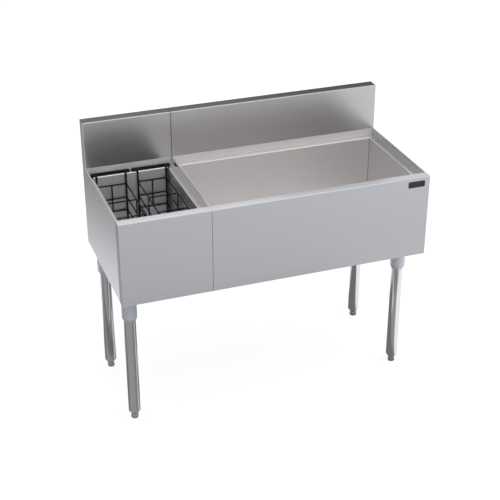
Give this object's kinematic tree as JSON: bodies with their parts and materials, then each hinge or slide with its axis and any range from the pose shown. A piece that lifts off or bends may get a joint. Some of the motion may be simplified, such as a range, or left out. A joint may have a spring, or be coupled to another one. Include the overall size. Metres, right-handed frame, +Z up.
{
  "type": "underbar ice bin",
  "caption": "Free-standing stainless underbar ice bin on tube legs, with a low backsplash and a bottle well beside the bin that holds lift-out wire baskets.",
  "frame": {"origin": "on the floor, under the middle of the overall box", "axes": "+X to the right as seen from the bartender's side, +Y from the front face to the backsplash, +Z up"},
  "size_m": [1.0668, 0.4852, 0.9451],
  "materials": {
    "fascia_steel": "brushed stainless, light cool grey",
    "splash_steel": "brushed stainless, soft reflections",
    "liner_steel": "smooth stainless, warm grey reflections",
    "end_panel_steel": "satin stainless",
    "galvanised_sheet": "galvanised sheet, dull",
    "polished_tube": "polished stainless tube",
    "satin_socket": "satin bluish grey casting",
    "foot_steel": "dark grey plated steel",
    "black_coated_wire": "black dipped coating on steel wire",
    "foam": "cream rigid foam",
    "gasket_rubber": "black rubber",
    "drain_metal": "plated brass",
    "strainer_steel": "stainless disc with holes",
    "black_plate": "blank black plate"
  },
  "bodies": {
    "station": {"well_fascia": "fascia_steel", "well_backsplash": "splash_steel", "well_rear_panel": "galvanised_sheet", "well_bottom_pan": "galvanised_sheet", "well_liner": "liner_steel", "well_insulation": "foam", "well_drain_body": "drain_metal", "well_drain_gasket": "gasket_rubber", "well_drain_locknut": "drain_metal", "bin_fascia": "fascia_steel", "bin_backsplash": "splash_steel", "bin_rear_panel": "galvanised_sheet", "bin_bottom_pan": "galvanised_sheet", "bin_liner": "liner_steel", "bin_insulation": "foam", "bin_drain_body": "drain_metal", "bin_drain_gasket": "gasket_rubber", "bin_drain_locknut": "drain_metal", "left_end_panel": "end_panel_steel", "divider_panel": "end_panel_steel", "right_end_panel": "end_panel_steel", "leg_channel_left": "galvanised_sheet", "leg_channel_right": "galvanised_sheet", "leg_socket_front_left": "satin_socket", "set_screw_front_left": "foot_steel", "leg_tube_front_left": "polished_tube", "foot_insert_front_left": "foot_steel", "leg_socket_back_left": "satin_socket", "set_screw_back_left": "foot_steel", "leg_tube_back_left": "polished_tube", "foot_insert_back_left": "foot_steel", "leg_socket_front_right": "satin_socket", "set_screw_front_right": "foot_steel", "leg_tube_front_right": "polished_tube", "foot_insert_front_right": "foot_steel", "leg_socket_back_right": "satin_socket", "set_screw_back_right": "foot_steel", "leg_tube_back_right": "polished_tube", "foot_insert_back_right": "foot_steel", "nameplate": "black_plate"},
    "foot_front_left": {"foot_front_left": "foot_steel"},
    "foot_back_left": {"foot_back_left": "foot_steel"},
    "foot_front_right": {"foot_front_right": "foot_steel"},
    "foot_back_right": {"foot_back_right": "foot_steel"},
    "left_basket": {"left_basket_back_frame": "black_coated_wire", "left_basket_front_frame": "black_coated_wire", "left_basket_left_side": "black_coated_wire", "left_basket_right_side": "black_coated_wire", "left_basket_front_cross_wire": "black_coated_wire", "left_basket_back_cross_wire": "black_coated_wire", "left_basket_bottom_grid": "black_coated_wire"},
    "right_basket": {"right_basket_back_frame": "black_coated_wire", "right_basket_front_frame": "black_coated_wire", "right_basket_left_side": "black_coated_wire", "right_basket_right_side": "black_coated_wire", "right_basket_front_cross_wire": "black_coated_wire", "right_basket_back_cross_wire": "black_coated_wire", "right_basket_bottom_grid": "black_coated_wire"},
    "well_strainer": {"well_drain_strainer": "strainer_steel"},
    "bin_strainer": {"bin_drain_strainer": "strainer_steel"}
  },
  "joints": [
    {"name": "foot_front_left_screw_out", "type": "slide", "parent": "station", "child": "foot_front_left", "axis": [0, 0, -1], "range_m": [0, 0.025]},
    {"name": "foot_back_left_screw_out", "type": "slide", "parent": "station", "child": "foot_back_left", "axis": [0, 0, -1], "range_m": [0, 0.025]},
    {"name": "foot_front_right_screw_out", "type": "slide", "parent": "station", "child": "foot_front_right", "axis": [0, 0, -1], "range_m": [0, 0.025]},
    {"name": "foot_back_right_screw_out", "type": "slide", "parent": "station", "child": "foot_back_right", "axis": [0, 0, -1], "range_m": [0, 0.025]},
    {"name": "left_basket_lift", "type": "slide", "parent": "station", "child": "left_basket", "axis": [0, 0, 1], "range_m": [0, 0.24]},
    {"name": "right_basket_lift", "type": "slide", "parent": "station", "child": "right_basket", "axis": [0, 0, 1], "range_m": [0, 0.24]},
    {"name": "well_strainer_lift", "type": "slide", "parent": "station", "child": "well_strainer", "axis": [0, 0, 1], "range_m": [0, 0.02]},
    {"name": "bin_strainer_lift", "type": "slide", "parent": "station", "child": "bin_strainer", "axis": [0, 0, 1], "range_m": [0, 0.02]}
  ]
}
